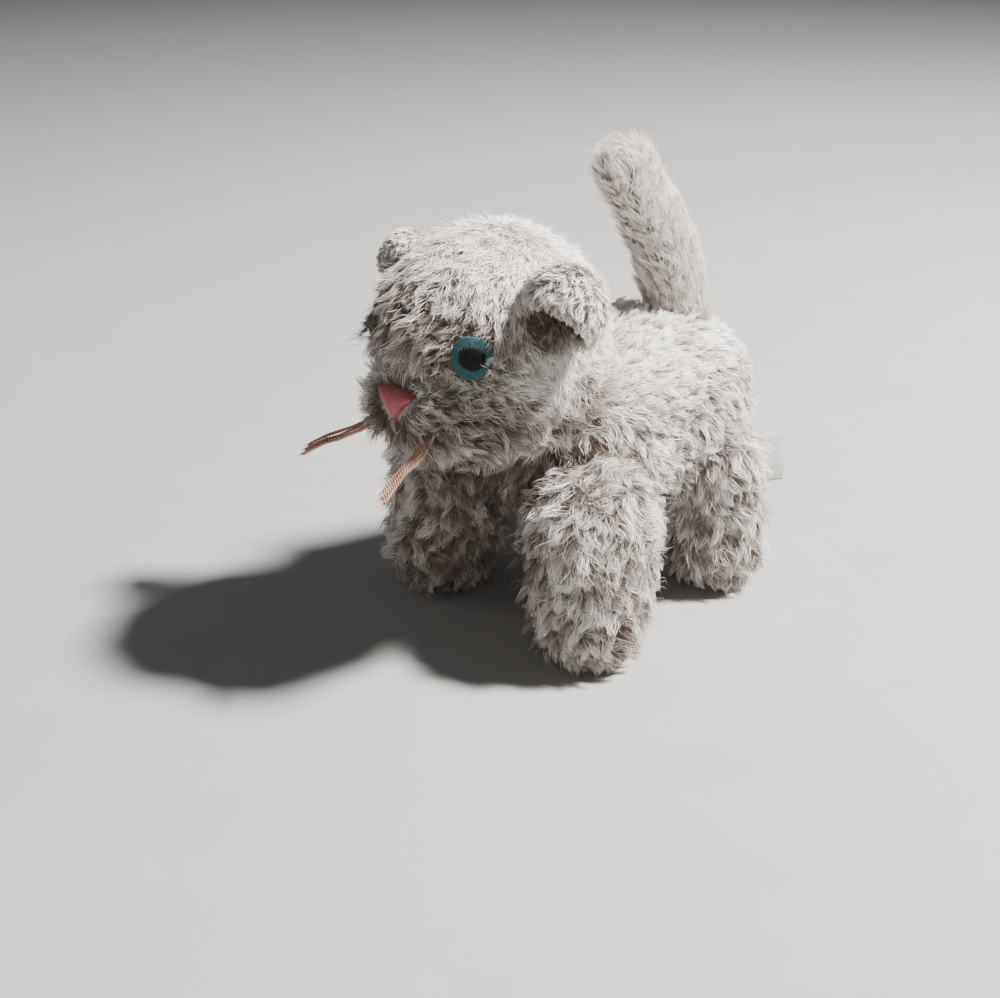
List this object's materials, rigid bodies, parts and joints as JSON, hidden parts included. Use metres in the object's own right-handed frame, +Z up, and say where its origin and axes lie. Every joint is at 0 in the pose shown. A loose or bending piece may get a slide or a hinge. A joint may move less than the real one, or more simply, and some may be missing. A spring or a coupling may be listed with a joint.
{
  "type": "plush cat",
  "caption": "Small standing plush cat in pale grey pile with an upright tail, stubby legs, teal eyes, a stitched rose nose and thread whiskers.",
  "frame": {"origin": "on the floor, in the middle of the bounding box of the toy", "axes": "+Z up; the cat faces -Y and its left side is +X"},
  "size_m": [0.0588, 0.0945, 0.0835],
  "materials": {
    "plush": "light warm grey long pile plush, combed and clumped",
    "ear_lining": "dark brown short nap",
    "filling": "loose polyester fibre filling",
    "eye_teal": "matte teal felt",
    "eye_black": "matte black felt",
    "nose_thread": "satin stitched dusky rose thread",
    "mouth_thread": "mauve thread",
    "whisker_floss": "plied copper coloured floss",
    "label_ribbon": "blank off-white woven ribbon"
  },
  "bodies": {
    "torso": {"torso_skin_left": "plush", "torso_skin_right": "plush", "belly_skin": "plush", "torso_stuffing": "filling"},
    "head": {"head_skin_left": "plush", "head_skin_right": "plush", "head_gusset": "plush", "head_stuffing": "filling", "eye_left_iris": "eye_teal", "eye_left_pupil": "eye_black", "eye_right_iris": "eye_teal", "eye_right_pupil": "eye_black", "nose_stitching": "nose_thread", "mouth_stitching": "mouth_thread", "whisker_left_1": "whisker_floss", "whisker_left_2": "whisker_floss", "whisker_left_3": "whisker_floss", "whisker_right_1": "whisker_floss", "whisker_right_2": "whisker_floss", "whisker_right_3": "whisker_floss"},
    "ear_left": {"ear_left_skin": "plush", "ear_left_lining": "ear_lining"},
    "ear_right": {"ear_right_skin": "plush", "ear_right_lining": "ear_lining"},
    "tail": {"tail_skin_left": "plush", "tail_skin_right": "plush", "tail_stuffing": "filling"},
    "leg_front_left": {"leg_front_left_outer": "plush", "leg_front_left_inner": "plush", "leg_front_left_stuffing": "filling"},
    "leg_front_right": {"leg_front_right_outer": "plush", "leg_front_right_inner": "plush", "leg_front_right_stuffing": "filling"},
    "leg_rear_left": {"leg_rear_left_outer": "plush", "leg_rear_left_inner": "plush", "leg_rear_left_stuffing": "filling", "care_label": "label_ribbon"},
    "leg_rear_right": {"leg_rear_right_outer": "plush", "leg_rear_right_inner": "plush", "leg_rear_right_stuffing": "filling"}
  },
  "joints": [
    {"name": "head_turn", "type": "hinge", "parent": "torso", "child": "head", "pos_m": [0, -0.0163, 0.0565], "axis": [0, 0, 1], "range_deg": [-20, 20], "stiffness_Nm_per_rad": 0.02},
    {"name": "ear_left_fold", "type": "hinge", "parent": "head", "child": "ear_left", "pos_m": [0.01758, -0.0195, 0.06591], "axis": [-0.4585, 0.0834, 0.8848], "range_deg": [-18, 18], "stiffness_Nm_per_rad": 0.002},
    {"name": "ear_right_fold", "type": "hinge", "parent": "head", "child": "ear_right", "pos_m": [-0.01824, -0.01773, 0.06505], "axis": [0.4221, 0.033, 0.906], "range_deg": [-18, 18], "stiffness_Nm_per_rad": 0.002},
    {"name": "tail_lift", "type": "hinge", "parent": "torso", "child": "tail", "pos_m": [0, 0.0347, 0.048], "axis": [1, 0, 0], "range_deg": [-30, 8], "stiffness_Nm_per_rad": 0.02},
    {"name": "leg_front_left_swing", "type": "hinge", "parent": "torso", "child": "leg_front_left", "pos_m": [0.0179, -0.0097, 0.026], "axis": [1, 0, 0], "range_deg": [-18, 18], "stiffness_Nm_per_rad": 0.05},
    {"name": "leg_front_right_swing", "type": "hinge", "parent": "torso", "child": "leg_front_right", "pos_m": [-0.0179, -0.0097, 0.026], "axis": [1, 0, 0], "range_deg": [-18, 18], "stiffness_Nm_per_rad": 0.05},
    {"name": "leg_rear_left_swing", "type": "hinge", "parent": "torso", "child": "leg_rear_left", "pos_m": [0.0171, 0.0261, 0.0255], "axis": [1, 0, 0], "range_deg": [-18, 18], "stiffness_Nm_per_rad": 0.05},
    {"name": "leg_rear_right_swing", "type": "hinge", "parent": "torso", "child": "leg_rear_right", "pos_m": [-0.0171, 0.0261, 0.0255], "axis": [1, 0, 0], "range_deg": [-18, 18], "stiffness_Nm_per_rad": 0.05}
  ]
}
